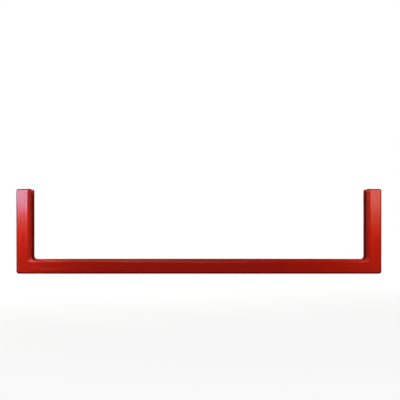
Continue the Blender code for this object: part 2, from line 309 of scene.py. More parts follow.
def memberMatrix(member, place):
    facts = members[member]
    origin = facts["origin"].copy()
    origin[facts["along"]] = place
    return Matrix.Translation(origin) @ Matrix.Rotation(facts["turn"], 4, "Y")


def nodeSite(member, node):
    low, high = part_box(node)
    along = members[member]["along"]
    return memberMatrix(member, (low[along] + high[along]) / 2)


boltSites = {}
for member, facts in members.items():
    for number in range(1, facts["bolts"] + 1):
        boltSites[member, number] = nodeSite(member, f"{member}_bolt_{number}")
rivetSites = {}
for sideName in sides:
    for number in range(1, 5):
        node = f"{sideName}_corner_rivet_{number}"
        rivetSites[node] = nodeSite("bottom" if number < 3 else sideName, node)

# Halfway between each bolt and the next, where the foam fills a hole in the strip
keySites = []
for member, facts in members.items():
    along = facts["along"]
    places = [boltSites[member, number + 1].translation[along] for number in range(facts["bolts"])]
    keySites += [memberMatrix(member, (near + far) / 2) for near, far in zip(places, places[1:])]


# Shader groups that several finishes share

pigments = {"Place": "Vector", "Main Color": "Color", "Drift Color": "Color"}


# Slow change of tone over a surface, from one pigment to another
def makeToneDrift():
    inputs = {**pigments, "Patch Size": 0.1, "Amount": 0.8}
    tree, given, result = newTree("toneDrift", "Shader", inputs, {"Color": "Color"})
    place = given["Place"]
    scale = calc("DIVIDE", 1, given["Patch Size"])
    fine = calc("MULTIPLY", scale, 7.3)
    broad = addNode(tree, "ShaderNodeTexNoise", {"Vector": place, "Scale": scale, "Detail": 3.0})
    small = addNode(tree, "ShaderNodeTexNoise", {"Vector": place, "Scale": fine, "Detail": 2.0})
    mixed = calc("MULTIPLY_ADD", small.outputs["Fac"], 0.35, broad.outputs["Fac"])
    mask = rangeValue(mixed, 0.45, 0.9, 0, 1, smooth=True)
    factor = calc("MULTIPLY", mask, given["Amount"])
    feed(result["Color"], blend(factor, given["Main Color"], given["Drift Color"], "RGBA"))
    return tree


# Fine grain: a soft orange peel with small pits in it
def makeGrain():
    inputs = {"Place": "Vector", "Grain Size": 0.002, "Pit Size": 0.006, "Pit Depth": 0.3}
    tree, given, result = newTree("grain", "Shader", inputs, {"Height": "Float"})
    peel = sizedTexture("Noise", given["Place"], given["Grain Size"], Detail=2.5)
    pits = sizedTexture("Voronoi", given["Place"], given["Pit Size"])
    pitShape = rangeValue(pits.outputs["Distance"], 0.04, 0.16, 1, 0, smooth=True)
    sunk = calc("MULTIPLY", pitShape, given["Pit Depth"])
    feed(result["Height"], calc("SUBTRACT", peel.outputs["Fac"], sunk))
    return tree


# Dull smears and short rubs left by handling, as a roughness and a mask
def makeHandling():
    inputs = {"Place": "Vector", "Smear Size": 0.05, "Low": 0.2, "High": 0.3, "Rub Size": 0.02}
    outputs = {"Roughness": "Float", "Rubs": "Float"}
    tree, given, result = newTree("handling", "Shader", inputs, outputs)
    smear = sizedTexture("Noise", given["Place"], given["Smear Size"], Detail=4.0, Distortion=0.6)
    stretched = stretch(given["Place"], (1.0, 3.0, 2.2))
    rub = sizedTexture("Noise", stretched, given["Rub Size"], Detail=5.0, Roughness=0.7)
    rubs = rangeValue(rub.outputs["Fac"], 0.62, 0.78, 0, 1, smooth=True)
    smears = rangeValue(smear.outputs["Fac"], 0.35, 0.7, 0, 1, smooth=True)
    both = calc("MAXIMUM", smears, rubs)
    feed(result["Roughness"], blend(both, given["Low"], given["High"]))
    feed(result["Rubs"], rubs)
    return tree


# Zinc plate: a crystal pattern of slightly different greys with fine drawn lines
def makePlating():
    inputs = {**pigments, "Crystal Size": 0.003, "Line Size": 0.0006, "Low": 0.28, "High": 0.42}
    outputs = {"Color": "Color", "Roughness": "Float", "Height": "Float"}
    tree, given, result = newTree("plating", "Shader", inputs, outputs)
    place = given["Place"]
    crystals = sizedTexture("Voronoi", place, given["Crystal Size"])
    tone = addNode(tree, "ShaderNodeSeparateColor", {0: crystals.outputs["Color"]}).outputs[0]
    drift = addNode(tree, "ShaderNodeTexNoise", {"Vector": place, "Scale": 24.0, "Detail": 3.0})
    mixed = calc("MULTIPLY_ADD", tone, 0.4, drift.outputs["Fac"])
    factor = rangeValue(mixed, 0.4, 1.0, 0, 1)
    feed(result["Color"], blend(factor, given["Main Color"], given["Drift Color"], "RGBA"))
    feed(result["Roughness"], blend(factor, given["Low"], given["High"]))
    drawn = stretch(place, (0.03, 1.0, 0.03))
    lines = sizedTexture("Noise", drawn, given["Line Size"], Detail=2.0)
    feed(result["Height"], calc("MULTIPLY_ADD", tone, 0.2, lines.outputs["Fac"]))
    return tree


# Feeds a group its place, and each fact of a finish that it has an input for
def useGroup(tree, name, place, facts):
    node = tree.nodes.new("ShaderNodeGroup")
    node.node_tree = groups[name]
    values = {**facts, "Place": place}
    for socket in node.inputs:
        if socket.name in values:
            feed(socket, values[socket.name])
    return node


groups = {
    "toneDrift": makeToneDrift(),
    "grain": makeGrain(),
    "handling": makeHandling(),
    "plating": makePlating(),
}

# Finishes

moulded = {
    "padRed": {
        "Main Color": (0.470, 0.0085, 0.0012, 1),
        "Drift Color": (0.430, 0.0072, 0.0010, 1),
        "Rubbed Color": (0.47, 0.018, 0.008, 1),
        # Painted shade: a near-black red laid along the pad's rounds, lip ends and the rounds at the arms'
        # tops
        "Edge Color": (0.045, 0.0015, 0.0004, 1),
        "Edge Roughness": 0.30,
        "Low": 0.18,
        "High": 0.29,
        "Relief": 0.000022,
        "Grain Size": 0.0021,
        "Pit Size": 0.011,
        "Pit Depth": 0.5,
        "Patch Size": 0.018,
        "Smear Size": 0.009,
        "Rub Size": 0.009 / 3,
    },
    "plugBlack": {
        "Main Color": (0.022, 0.022, 0.023, 1),
        "Drift Color": (0.033, 0.032, 0.031, 1),
        "Rubbed Color": (0.06, 0.058, 0.055, 1),
        "Edge Color": (0.02, 0.02, 0.02, 1),
        "Edge Roughness": 0.60,
        "Low": 0.42,
        "High": 0.55,
        "Relief": 0.00003,
        "Grain Size": 0.0008,
        "Pit Size": 0.004,
        "Pit Depth": 0.2,
        "Patch Size": 0.02,
        "Smear Size": 0.02,
        "Rub Size": 0.02 / 3,
    },
}
platedFacts = ("Main Color", "Drift Color", "Low", "High", "Crystal Size")
plated = {
    "zincStrip": ((0.56, 0.57, 0.58, 1), (0.66, 0.66, 0.64, 1), 0.38, 0.48, 0.0042),
    "rivetSteel": ((0.50, 0.50, 0.50, 1), (0.58, 0.57, 0.56, 1), 0.34, 0.5, 0.0016),
    "boltZinc": ((0.62, 0.59, 0.48, 1), (0.66, 0.64, 0.56, 1), 0.24, 0.38, 0.0012),
    "washerZinc": ((0.60, 0.61, 0.62, 1), (0.68, 0.68, 0.67, 1), 0.26, 0.4, 0.0012),
}


def startMaterial(name):
    material = bpy.data.materials.new(name)
    material.use_nodes = True
    tree = material.node_tree
    place = addNode(tree, "ShaderNodeTexCoord").outputs["Object"]
    return material, tree, tree.nodes["Principled BSDF"], place


# A moulded skin, glossy on the pad and satin on the plugs. The pad's smears follow its members, and its
# rounds and lip ends carry painted shade.
def makeMoulded(name, flowing=False):
    facts = moulded[name]
    material, tree, shader, place = startMaterial(name)
    smeared = place
    if flowing:
        flow = addNode(tree, "ShaderNodeAttribute", attribute_name="flow").outputs["Vector"]
        smeared = stretch(flow, (0.05, 1, 1))
    drift = useGroup(tree, "toneDrift", smeared, facts)
    handled = useGroup(tree, "handling", smeared, facts)
    faded = calc("MULTIPLY", handled.outputs["Rubs"], 0.35)
    worn = blend(faded, drift.outputs["Color"], facts["Rubbed Color"], "RGBA")
    # The edge attribute carries painted shade: where it is high, the colour goes to the near-black red
    edge = addNode(tree, "ShaderNodeAttribute", attribute_name="edge").outputs["Fac"]
    edgeShaded = blend(calc("MULTIPLY", edge, 0.9), worn, facts["Edge Color"], "RGBA")
    feed(shader.inputs["Base Color"], edgeShaded)
    rough = blend(edge, handled.outputs["Roughness"], facts["Edge Roughness"])
    feed(shader.inputs["Roughness"], rough)
    height = useGroup(tree, "grain", place, facts)
    bump = addNode(tree, "ShaderNodeBump", {"Strength": 1.0, "Distance": facts["Relief"], "Height": height})
    feed(shader.inputs["Normal"], bump)
    return material


def makePlated(name):
    material, tree, shader, place = startMaterial(name)
    plate = useGroup(tree, "plating", place, dict(zip(platedFacts, plated[name])))
    shader.inputs["Metallic"].default_value = 1.0
    feed(shader.inputs["Base Color"], plate.outputs["Color"])
    feed(shader.inputs["Roughness"], plate.outputs["Roughness"])
    height = plate.outputs["Height"]
    bump = addNode(tree, "ShaderNodeBump", {"Strength": 0.6, "Distance": 0.00002, "Height": height})
    feed(shader.inputs["Normal"], bump)
    return material


padRed = makeMoulded("padRed", flowing=True)
plugBlack = makeMoulded("plugBlack")
zincStrip, rivetSteel, boltZinc, washerZinc = [makePlated(name) for name in plated]
print("finishes made:", len(moulded) + len(plated))

# The pad: one moulded channel, bent in a U. Its outline is carried along the edge of the board.

pad = {
    "outside": 0.0508,
    "lap": 0.0254,
    "bevelWidth": 0.0140,
    "bevelDepth": 0.0090,
    "outerRound": 0.0100,
    "bevelRound": 0.0060,
    "lipRound": 0.0045,
    "mouthRound": 0.0020,
    "floorRound": 0.0010,
    "outerCorner": 0.0130,
    "innerCorner": 0.0160,
    "slotCorner": 0.0020,
    "topRound": 0.0090,
    "topEase": 0.0015,
    "partingPlace": 0.0260,
    "partingHalf": 0.0005,
    "partingHeight": 0.00018,
    "crown": 0.0002,
    "ripple": 0.00080,
    "rippleAcross": 0.0085,
    "rippleAlong": 0.50,
    "capSteps": 10,
    "armSteps": 44,
    "cornerSteps": 14,
    "bottomSteps": 92,
    # Strength of the painted shade on the rounds and on the lip ends
    "paintedShadeRound": 0.75,
    "paintedShadeFlat": 0.7,
    "waveFade": 0.0080,
    "fill": 0.9,
}


# Outline corners: (out from the board's edge, Y, radius, arc steps, steps of the flat after it)
def padCorners(inset, ease):
    slope = math.atan2(pad["bevelDepth"], pad["bevelWidth"])
    face = board["depthHalf"] - inset
    lip = inset - pad["lap"]
    bevelStart = pad["bevelWidth"] - pad["lap"] + inset * math.tan(slope / 2)
    bevelEnd = board["depthHalf"] - pad["bevelDepth"] - inset * math.tan(math.pi / 4 - slope / 2)
    slot = board["slotHalf"] + ease
    rounds = [max(pad[name] - inset, clear) for name in ("outerRound", "bevelRound", "lipRound")]
    back = [
        (pad["outside"] - inset, face, rounds[0], 10, 22),
        (bevelStart, face, rounds[1], 5, 5),
        (lip, bevelEnd, rounds[2], 6, 3),
        (lip, slot, pad["mouthRound"], 4, 3),
        (ease, slot, pad["floorRound"], 3, 4),
    ]
    flats = [24] + [corner[4] for corner in back]
    front = [(out, -y, radius, steps, flats[i]) for i, (out, y, radius, steps, _) in enumerate(back)]
    return back + front[::-1]


# Outline with a raised parting line on its outer side. A point is (out, Y, crown weight, edge weight); the
# edge weight is painted shade on the outer rounds, lip rounds, mouths and lip ends.
def padOutline(inset, ease):
    crowned = {0: 1.0, 8: 1.0, 9: 1.0, 1: 0.25, 7: 0.25}
    # Corners whose rounds, or the flats after them, take painted shade
    shadedRoundCorners = (0, 2, 3, 6, 7, 9)
    shadedFlatCorners = (2, 6)
    points = []
    for point, corner, arcShare, flatShare in roundedOutline(padCorners(inset, ease)):
        crown = math.sin(math.pi * flatShare) * crowned.get(corner, 0)
        edge = 0
        if flatShare and corner in shadedFlatCorners:
            edge = pad["paintedShadeFlat"]
        elif 0 < arcShare < 1 and corner in shadedRoundCorners:
            edge = math.sin(math.pi * arcShare) ** 0.7 * pad["paintedShadeRound"]
        points.append((point.x, point.y, crown, edge))
    outer, middle = pad["outside"] - inset, pad["partingPlace"]
    high, half = pad["partingHeight"], pad["partingHalf"]
    ridge = [(-1, 0), (-0.4, 1), (0.4, 1), (1, 0)]
    line = [(outer + rise * high, middle + step * half, 0, 0) for step, rise in ridge]
    after = next(i for i, point in enumerate(points) if i > len(points) / 2 and point[1] > line[-1][1])
    before = max(i for i in range(after) if points[i][1] < line[0][1])
    return points[: before + 1] + line + points[after:]


# Distance round the outline from the middle of the slot's floor
def aroundOutline(points):
    steps = [math.dist(points[i - 1][:2], points[i][:2]) for i in range(len(points))]
    start = min(range(len(points)), key=lambda i: abs(points[i][0]) + abs(points[i][1]))
    around = [0.0] * len(points)
    for count in range(1, len(points)):
        i = (start + count) % len(points)
        around[i] = around[i - 1] + steps[i]
    return around


# Stations along the U, each (across, turn, climb, cap), from the left arm's top to the right arm's
def padStations():
    quarter = math.pi / 2
    left = [(-1, 0, 1, quarter * (1 - i / pad["capSteps"])) for i in range(pad["capSteps"])]
    left += [(-1, 0, 1 - i / pad["armSteps"], 0) for i in range(pad["armSteps"])]
    left += [(-1, quarter * i / pad["cornerSteps"], 0, 0) for i in range(pad["cornerSteps"])]
    left += [(i / pad["bottomSteps"] - 1, quarter, 0, 0) for i in range(pad["bottomSteps"])]
    right = [(-across, turn, climb, cap) for across, turn, climb, cap in reversed(left)]
    return left + [(0, quarter, 0, 0)] + right


def alongStations(stations):
    weights = (board["half"], pad["outerCorner"], board["top"] - board["edge"], pad["topRound"])
    along = [0.0]
    for near, far in zip(stations, stations[1:]):
        step = sum(abs(end - start) * weight for start, end, weight in zip(near, far, weights))
        along.append(along[-1] + step)
    return along


# The tree that carries the outline along the stations and gives the skin its slight waves
def makePadTree():
    inputs = {
        "Path": "Geometry",
        "Outline": "Object",
        "Outline Points": 100,
        "Stations": 100,
        "Board Half": board["half"],
        "Edge Height": board["edge"],
        "Top Height": board["top"],
        "Outside": pad["outside"],
        "Lap": pad["lap"],
        "Outer Corner": pad["outerCorner"],
        "Inner Corner": pad["innerCorner"],
        "Slot Corner": pad["slotCorner"],
        "Top Round": pad["topRound"],
        "Crown": pad["crown"],
        "Ripple": pad["ripple"],
        "Ripple Across": pad["rippleAcross"],
        "Ripple Along": pad["rippleAlong"],
        "Seed": 4.0,
        "Skin": "Material",
    }
    tree, sizes, result = newTree("padChannel", "Geometry", inputs, {"Pad": "Geometry"})
    ring = calc("ADD", sizes["Outline Points"], 1)
    grid = addNode(tree, "GeometryNodeMeshGrid", {"Vertices X": sizes["Stations"], "Vertices Y": ring})
    index = addNode(tree, "GeometryNodeInputIndex")
    station = calc("FLOOR", calc("DIVIDE", calc("ADD", index, 0.5), ring))
    corner = calc("SUBTRACT", index, calc("MULTIPLY", station, ring))
    corner = calc("MODULO", corner, sizes["Outline Points"])
    outline = addNode(tree, "GeometryNodeObjectInfo", {"Object": sizes["Outline"]}).outputs["Geometry"]

    def sample(geometry, value, place, dataType="FLOAT"):
        fed = {"Geometry": geometry, "Value": value, "Index": place}
        return addNode(tree, "GeometryNodeSampleIndex", fed, data_type=dataType, domain="POINT").outputs[0]

    def store(geometry, name, value, dataType="FLOAT"):
        fed = {"Geometry": geometry, "Name": name, "Value": value}
        return addNode(tree, "GeometryNodeStoreNamedAttribute", fed, data_type=dataType, domain="POINT")

    full = sample(outline, addNode(tree, "GeometryNodeInputPosition"), corner, "FLOAT_VECTOR")
    drawn = sample(outline, attribute(tree, "drawn", "FLOAT_VECTOR"), corner, "FLOAT_VECTOR")
    names = ("skin", "crown", "edge", "around")
    skin, crown, edge, around = [sample(outline, attribute(tree, name), corner) for name in names]
    path, names = sizes["Path"], ("across", "turn", "climb", "cap", "along")
    across, turn, climb, cap, along = [sample(path, attribute(tree, name), station) for name in names]
    flow = addNode(tree, "ShaderNodeCombineXYZ", {0: along, 1: around})
    drawnIn = calc("SUBTRACT", 1, calc("COSINE", cap))
    place = addNode(tree, "ShaderNodeSeparateXYZ", {0: blend(drawnIn, full, drawn, "VECTOR")})
    out, depth = place.outputs[0], place.outputs[1]
    lip = calc("MULTIPLY", sizes["Lap"], -1)
    inner = rangeValue(out, lip, 0, sizes["Inner Corner"], sizes["Slot Corner"])
    wider = calc("SUBTRACT", sizes["Outer Corner"], sizes["Slot Corner"])
    outer = rangeValue(out, 0, sizes["Outside"], 0, wider)
    radius = calc("ADD", inner, outer)
    cosine = calc("SUBTRACT", 1, calc("COSINE", turn))
    sine = calc("SUBTRACT", 1, calc("SINE", turn))
    reach = calc("ADD", sizes["Board Half"], out)
    reach = calc("SUBTRACT", reach, calc("MULTIPLY", radius, cosine))
    low = calc("SUBTRACT", sizes["Edge Height"], out)
    low = calc("MULTIPLY_ADD", radius, sine, low)
    high = calc("SUBTRACT", sizes["Top Height"], sizes["Top Round"])
    high = calc("MULTIPLY_ADD", sizes["Top Round"], calc("SINE", cap), high)
    width = calc("MULTIPLY", across, reach)
    spot = addNode(tree, "ShaderNodeCombineXYZ", {0: width, 1: depth, 2: blend(climb, low, high)})
    shaped = addNode(tree, "GeometryNodeSetPosition", {"Geometry": grid, "Position": spot})
    # Painted shade on the round at each arm's top end, joined to the outline's painted shade
    topShade = calc("SINE", calc("MULTIPLY", cap, 2))
    edge = calc("MAXIMUM", edge, calc("MULTIPLY", topShade, skin))
    for name, value in (("skin", skin), ("crown", crown), ("edge", edge)):
        shaped = store(shaped, name, value)
    stored = store(shaped, "flow", flow, "FLOAT_VECTOR")
    merged = addNode(tree, "GeometryNodeMergeByDistance", {"Geometry": stored, "Distance": 0.00001})

    # Waves that run along the members and round the bends
    scales = [calc("DIVIDE", 1, sizes[name]) for name in ("Ripple Along", "Ripple Across")]
    scale = addNode(tree, "ShaderNodeCombineXYZ", dict(enumerate(scales)))
    spread = stretch(attribute(tree, "flow", "FLOAT_VECTOR"), scale)
    waves = {"Vector": spread, "W": sizes["Seed"], "Scale": 1.0, "Detail": 1.0, "Roughness": 0.4}
    noise = addNode(tree, "ShaderNodeTexNoise", waves, noise_dimensions="4D")
    ripple = calc("SUBTRACT", noise.outputs["Fac"], 0.5)
    ripple = calc("MULTIPLY", ripple, sizes["Ripple"])
    bulge = calc("MULTIPLY", attribute(tree, "crown"), sizes["Crown"])
    rise = calc("MULTIPLY", calc("ADD", ripple, bulge), attribute(tree, "skin"))
    normal = addNode(tree, "GeometryNodeInputNormal").outputs["Normal"]
    offset = addNode(tree, "ShaderNodeVectorMath", {0: normal, "Scale": rise}, operation="SCALE")
    waved = addNode(tree, "GeometryNodeSetPosition", {"Geometry": merged, "Offset": offset})
    endTree(tree, waved, sizes["Skin"], result)
    return tree


# How much of the waves a point of the outline takes: none in the slot
def skinWeight(out, depth):
    if out > pad["outside"] / 2:
        return 1.0
    share = (abs(depth) - board["slotHalf"] - pad["mouthRound"]) / pad["waveFade"]
    share = min(max(share, 0), 1)
    return share * share * (3 - 2 * share)


def makePadBody():
    full = padOutline(0, 0)
    drawn = padOutline(pad["topRound"], pad["topEase"])
    outline = addPoints(
        "outline",
        [(*point[:2], 0) for point in full],
        {
            "skin": [skinWeight(*point[:2]) for point in full],
            "crown": [point[2] for point in full],
            # The edge weights are painted shade
            "edge": [point[3] for point in full],
            "around": aroundOutline(full),
        },
        {"drawn": [(*point[:2], 0) for point in drawn]},
    )
    stations = padStations()
    labels = ("across", "turn", "climb", "cap")
    numbers = {label: [float(station[i]) for station in stations] for i, label in enumerate(labels)}
    numbers["along"] = alongStations(stations)
    path = addPoints("padMoulding", [(i, 0, 0) for i in range(len(stations))], numbers)
    values = {"Outline": outline, "Outline Points": len(full), "Stations": len(stations), "Skin": padRed}
    bakeTree(path, makePadTree(), values)
    dropObjects(outline)
    shape = bmesh.new()
    shape.from_mesh(path.data)
    openEdges = [edge for edge in shape.edges if edge.is_boundary]
    caps = bmesh.ops.holes_fill(shape, edges=openEdges, sides=0)["faces"]
    bmesh.ops.triangulate(shape, faces=caps)
    bmesh.ops.recalc_face_normals(shape, faces=shape.faces)
    shape.to_mesh(path.data)
    shape.free()
    return path


# Places in the slot's floor for what is moulded in or bolted through

strip = {
    "half": 0.0170,
    "thickness": 0.0030,
    "cornerGap": 0.0060,
    "topGap": 0.0250,
    "edge": 0.0004,
    "keyRadius": 0.0060,
    "keyRoot": 0.0030,
    "intoSlot": 0.0010,
}
angle = {"leg": 0.0900, "face": 0.0033, "back": 0.0063, "bend": 0.0020, "edge": 0.0003}
rivet = {
    "shank": 0.0025,
    "head": 0.0044,
    "headDepth": 0.0018,
    "tail": 0.0042,
    "tailSeat": 0.0066,
    "tailHeight": 0.0022,
    "edge": 0.0002,
    "dimple": [(0.0006, 0.0004), (0.0014, 0.0002), (0.0019, 0.0000)],
    "steps": 28,
}
holes = {
    "bolt": 0.003575,
    "access": 0.0110,
    "plugSeat": 0.0483,
    "plugMouth": 0.0140,
    "mouthRound": 0.0010,
    "overrun": 0.0020,
    "steps": 64,
}


def stripSpan(member):
    if member == "bottom":
        end = board["half"] - strip["cornerGap"]
        return -end, end
    return board["edge"] + strip["cornerGap"], board["top"] - strip["topGap"]


# The strip's block in world space, grown by a play, and run on into the slot where it cuts
def stripSolid(member, play, into):
    start, end = stripSpan(member)
    low = [start - play, -strip["half"] - play, -into]
    high = [end + play, strip["half"] + play, strip["thickness"] + play]
    points, faces = blockSolid(low, high)
    origin = members[member]["origin"]
    if member == "bottom":
        return [Vector((x, y, origin.z - out)) for x, y, out in points], faces
    side = sides[member]
    return [Vector((origin.x + side * out, y, z)) for z, y, out in points], faces


def angleSolid(side, play):
    face, back, leg = angle["face"] - play, angle["back"] + play, angle["leg"] + play
    edge, half = board["edge"], board["half"]
    soft = (angle["edge"], 2, 1)
    corners = [
        (half - leg, edge - face, *soft),
        (half + face, edge - face, angle["bend"], 8, 1),
        (half + face, edge + leg, *soft),
        (half + back, edge + leg, *soft),
        (half + back, edge - back, angle["bend"] + (back - face), 8, 1),
        (half - leg, edge - back, *soft),
    ]
    outline = [point for point, *_ in roundedOutline(corners)]
    width = strip["half"] + play
    return loftRings([[(side * point.x, y, point.y) for point in outline] for y in (-width, width)])


def rivetPocket():
    head, shank, tail = [rivet[name] + clear for name in ("head", "shank", "tail")]
    seat = rivet["tailSeat"] - clear / 2
    end = rivet["tailSeat"] + rivet["tailHeight"] + clear
    heights = (-strip["intoSlot"], 0, rivet["headDepth"], seat, seat, end)
    return turnedSolid(zip((head, head, shank, shank, tail, tail), heights), rivet["steps"])


# From the outer face to the strip, stepped for the plug's flange, with a softened mouth
def accessHole():
    mouth, soft = holes["plugMouth"], holes["mouthRound"]
    outside = pad["outside"]
    profile = [(holes["access"], strip["thickness"] / 2)]
    profile += [(holes["access"], holes["plugSeat"] - clear), (mouth, holes["plugSeat"] - clear)]
    for step in range(5):
        bend = math.pi / 2 * step / 4
        profile.append((mouth + soft * (1 - math.cos(bend)), outside - soft + soft * math.sin(bend)))
    profile.append((mouth + soft, outside + holes["overrun"]))
    return turnedSolid(profile, holes["steps"])


def keyStud():
    radius, rim = strip["keyRadius"] - clear, strip["edge"]
    end = strip["thickness"] + strip["keyRoot"]
    return turnedSolid([(radius - rim, 0), (radius, rim), (radius, end)], 40)


def makePad():
    piece = makePadBody()
    cutters = [
        addSolids("stripRecess", [stripSolid(member, clear, strip["intoSlot"]) for member in members]),
        addSolids("anglePocket", [angleSolid(side, clear) for side in sides.values()]),
        addSolids("accessHole", [accessHole()], boltSites.values()),
        addSolids("rivetPocket", [rivetPocket()], rivetSites.values()),
    ]
    for cutter in cutters:
        addBoolean(piece, "DIFFERENCE", cutter)
    studs = addSolids("keyStud", [keyStud()], keySites)
    addBoolean(piece, "UNION", studs)
    keepModifiers(piece)
    dropObjects(studs, *cutters)
    setFinish(piece.data, padRed)
    smoothShade(piece.data)
    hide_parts("pad_moulding")
    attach(piece, "root")
    print("pad moulding:", len(piece.data.polygons), "faces")


makePad()

# Steel strips and corner angles, with softened edges and clean holes


def finishPlate(piece, cutters, nodes):
    for cutter in cutters:
        addBoolean(piece, "DIFFERENCE", cutter)
    keepModifiers(piece)
    setFinish(piece.data, zincStrip)
    smoothShade(piece.data)
    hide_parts(*nodes)
    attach(piece, "root")


def softenEdges(piece, width):
    shape = bmesh.new()
    shape.from_mesh(piece.data)
    edges = [edge for edge in shape.edges if edge.calc_face_angle(0) > math.radians(60)]
    bmesh.ops.bevel(shape, geom=edges, offset=width, segments=2, profile=0.5, affect="EDGES")
    shape.to_mesh(piece.data)
    shape.free()


def throughHole(radius, steps):
    overrun = holes["overrun"]
    return turnedSolid([(radius, -overrun), (radius, strip["thickness"] + overrun)], steps)


def makePlates():
    boltHoles = addSolids("boltHoles", [throughHole(holes["bolt"], 36)], boltSites.values())
    keyHoles = addSolids("keyHoles", [throughHole(strip["keyRadius"], 48)], keySites)
    rivetHoles = addSolids("rivetHoles", [rivetPocket()], rivetSites.values())
    for member in members:
        piece = addSolids(member + "Strip", [stripSolid(member, 0, 0)])
        softenEdges(piece, strip["edge"])
        finishPlate(piece, [boltHoles, keyHoles, rivetHoles], [member + "_backing_strip"])
    for sideName, side in sides.items():
        piece = addSolids(sideName + "Angle", [angleSolid(side, 0)])
        finishPlate(piece, [rivetHoles], [sideName + "_corner_angle"])
    dropObjects(boltHoles, keyHoles, rivetHoles)
    print("strips and angles:", len(members) + len(sides))


makePlates()

# Fasteners: one of each kind is modelled, and a tree sets it at every site


def makeSeatTree():
    inputs = {
        "Sites": "Geometry",
        "Fastener": "Object",
        "Largest Spin": 2 * math.pi,
        "Seed": 1,
        "Finish": "Material",
    }
    tree, given, result = newTree("fastenerSeats", "Geometry", inputs, {"Set": "Geometry"})
    shape = addNode(tree, "GeometryNodeObjectInfo", {"Object": given["Fastener"]}).outputs["Geometry"]
    outward = attribute(tree, "outward", "FLOAT_VECTOR")
    stand = addNode(tree, "FunctionNodeAlignRotationToVector", {"Vector": outward}, axis="Z")
    limits = {"Min": 0.0, "Max": given["Largest Spin"], "Seed": given["Seed"]}
    spin = addNode(tree, "FunctionNodeRandomValue", limits, data_type="FLOAT")
    turned = addNode(tree, "FunctionNodeAxisAngleToRotation", {"Axis": (0, 0, 1), "Angle": spin})
    turns = {"Rotation": stand, "Rotate By": turned}
    facing = addNode(tree, "FunctionNodeRotateRotation", turns, rotation_space="LOCAL")
    spots = {"Points": given["Sites"], "Instance": shape, "Rotation": facing}
    placed = addNode(tree, "GeometryNodeInstanceOnPoints", spots)
    endTree(tree, placed, given["Finish"], result)
    return tree


seatTree = makeSeatTree()


def seatFasteners(name, solids, sites, nodes, finish, seed):
    model = addSolids(name + "Model", solids)
    smoothShade(model.data)
    outward = [site.to_3x3() @ Vector((0, 0, 1)) for site in sites]
    piece = addPoints(name, [tuple(site.translation) for site in sites], None, {"outward": outward})
    bakeTree(piece, seatTree, {"Fastener": model, "Seed": seed, "Finish": finish})
    dropObjects(model)
    setFinish(piece.data, finish)
    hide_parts(*nodes)
    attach(piece, "root")
    print(name + ":", len(nodes), "set,", len(piece.data.polygons), "faces")


bolt = {
    "radius": 0.003175,
    "root": 0.00262,
    "pitch": 0.00127,
    "reach": 0.0120,
    "tip": 0.0011,
    "headSeat": 0.0071,
    "headHeight": 0.0040,
    "flats": 0.0111,
    "washerFace": 0.00025,
    "crownSlope": math.tan(math.radians(28)),
    "headSteps": 72,
    "threadSteps": 28,
    "threadRows": 8,
}


# Distance from a hexagon's centre to its side, in a direction
def hexReach(turn):
    sector = math.pi / 3
    return bolt["flats"] / 2 / math.cos((turn + sector / 2) % sector - sector / 2)


def boltHead():
    steps, flat, seat = bolt["headSteps"], bolt["flats"] / 2, bolt["headSeat"]
    top, washerTop = seat + bolt["headHeight"], seat + bolt["washerFace"]
    turns = [2 * math.pi * i / steps for i in range(steps)]
    corners = [hexReach(turn) for turn in turns]
    crown = flat * 0.93
    edges = [top - (reach - crown) * bolt["crownSlope"] for reach in corners]

    def hexRing(inset, heights):
        return [polar(reach - inset, turn, z) for reach, turn, z in zip(corners, turns, heights)]

    rings = [
        circle(flat * 0.35, top - 0.00012, steps),
        circle(flat * 0.55, top - 0.0001, steps),
        circle(flat * 0.62, top, steps),
        circle(crown, top, steps),
        hexRing(0.00008, [edge + 0.00004 for edge in edges]),
        hexRing(0, [edge - 0.00008 for edge in edges]),
        hexRing(0, [washerTop] * steps),
        circle(flat * 0.94, washerTop, steps),
        circle(flat * 0.92, seat, steps),
        circle(bolt["radius"] * 0.9, seat, steps),
    ]
    return loftRings(rings)


# A shank with a rounded V thread that winds down to a tapered tip
def boltShank():
    steps = bolt["threadSteps"]
    start, end = bolt["headSeat"] + 0.0005, -bolt["reach"]
    rows = int((start - end) / bolt["pitch"] * bolt["threadRows"])
    depth = bolt["radius"] - bolt["root"]
    rings = []
    for row in range(rows + 1):
        z = start + (end - start) * row / rows
        taper = min(1, max(0, (end + bolt["tip"] - z) / bolt["tip"]))
        points = []
        for i in range(steps):
            phase = (z / bolt["pitch"] + i / steps) % 1
            wave = 0.5 - 0.5 * math.cos(2 * math.pi * phase)
            radius = bolt["root"] + depth * min(1, 1.15 * wave) - taper * depth * 1.4
            points.append(polar(radius, 2 * math.pi * i / steps, z))
        rings.append(points)
    return loftRings(rings)


washer = {
    "hole": 0.003575,
    "flatRadius": 0.0092,
    "flatSeat": 0.0033,
    "lockRadius": 0.0062,
    "lockSeat": 0.0052,
    "thickness": 0.0016,
    "edge": 0.00035,
    "split": 0.0016,
    "steps": 56,
}


# A ring's section, rounded more at its outer edges, as (radius, height)
def ringSection(outer, seat):
    inner, top, edge = washer["hole"], seat + washer["thickness"], washer["edge"]
    corners = [
        (inner, seat, edge * 0.5, 2, 1),
        (outer, seat, edge, 3, 1),
        (outer, top, edge, 3, 1),
        (inner, top, edge * 0.5, 2, 1),
    ]
    return [(point.x, point.y) for point, *_ in roundedOutline(corners)]


def flatWasher():
    return turnedSolid(ringSection(washer["flatRadius"], washer["flatSeat"]), washer["steps"], joined=True)


# A flat ring, split on a slant
def lockWasher():
    section = ringSection(washer["lockRadius"], washer["lockSeat"])
    middle = (washer["hole"] + washer["lockRadius"]) / 2
    gap = washer["split"] / middle / 2
    rings = []
    for i in range(washer["steps"]):
        share = i / (washer["steps"] - 1)
        points = []
        for radius, height in section:
            slant = (height - washer["lockSeat"] - washer["thickness"] / 2) / middle * 0.6
            turn = gap + slant + 2 * (math.pi - gap) * share
            points.append(polar(radius, turn, height))
        rings.append(points)
    return loftRings(rings)


